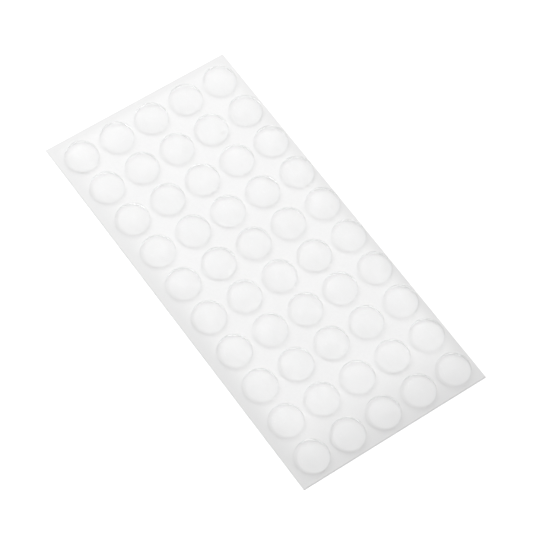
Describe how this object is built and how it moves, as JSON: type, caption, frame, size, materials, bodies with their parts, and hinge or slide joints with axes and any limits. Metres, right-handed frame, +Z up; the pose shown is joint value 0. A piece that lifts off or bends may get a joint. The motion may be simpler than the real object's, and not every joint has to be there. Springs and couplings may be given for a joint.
{
  "type": "cabinet door bumper sheet",
  "caption": "Clear round self-adhesive door bumpers with low crowns, standing in even rows on a flat release liner for peeling off.",
  "frame": {"origin": "centre of the liner's underside, on the surface that the sheet lies on", "axes": "+Z up out of the bumpers' crowns, +Y along the sheet towards the back row, +X across it"},
  "size_m": [0.0618, 0.1282, 0.0032],
  "materials": {
    "clear_polyurethane": "clear, smooth and glossy",
    "release_film": "milky white film with a soft sheen"
  },
  "bodies": {
    "root": {"release_liner": "release_film", "bumper_row1_col1": "clear_polyurethane", "bumper_row1_col2": "clear_polyurethane", "bumper_row1_col3": "clear_polyurethane", "bumper_row1_col4": "clear_polyurethane", "bumper_row1_col5": "clear_polyurethane", "bumper_row2_col1": "clear_polyurethane", "bumper_row2_col2": "clear_polyurethane", "bumper_row2_col3": "clear_polyurethane", "bumper_row2_col4": "clear_polyurethane", "bumper_row2_col5": "clear_polyurethane", "bumper_row3_col1": "clear_polyurethane", "bumper_row3_col2": "clear_polyurethane", "bumper_row3_col3": "clear_polyurethane", "bumper_row3_col4": "clear_polyurethane", "bumper_row3_col5": "clear_polyurethane", "bumper_row4_col1": "clear_polyurethane", "bumper_row4_col2": "clear_polyurethane", "bumper_row4_col3": "clear_polyurethane", "bumper_row4_col4": "clear_polyurethane", "bumper_row4_col5": "clear_polyurethane", "bumper_row5_col1": "clear_polyurethane", "bumper_row5_col2": "clear_polyurethane", "bumper_row5_col3": "clear_polyurethane", "bumper_row5_col4": "clear_polyurethane", "bumper_row5_col5": "clear_polyurethane", "bumper_row6_col1": "clear_polyurethane", "bumper_row6_col2": "clear_polyurethane", "bumper_row6_col3": "clear_polyurethane", "bumper_row6_col4": "clear_polyurethane", "bumper_row6_col5": "clear_polyurethane", "bumper_row7_col1": "clear_polyurethane", "bumper_row7_col2": "clear_polyurethane", "bumper_row7_col3": "clear_polyurethane", "bumper_row7_col4": "clear_polyurethane", "bumper_row7_col5": "clear_polyurethane", "bumper_row8_col1": "clear_polyurethane", "bumper_row8_col2": "clear_polyurethane", "bumper_row8_col3": "clear_polyurethane", "bumper_row8_col4": "clear_polyurethane", "bumper_row8_col5": "clear_polyurethane", "bumper_row9_col1": "clear_polyurethane", "bumper_row9_col2": "clear_polyurethane", "bumper_row9_col3": "clear_polyurethane", "bumper_row9_col4": "clear_polyurethane", "bumper_row9_col5": "clear_polyurethane", "bumper_row10_col1": "clear_polyurethane", "bumper_row10_col2": "clear_polyurethane", "bumper_row10_col3": "clear_polyurethane", "bumper_row10_col4": "clear_polyurethane", "bumper_row10_col5": "clear_polyurethane"}
  },
  "joints": []
}
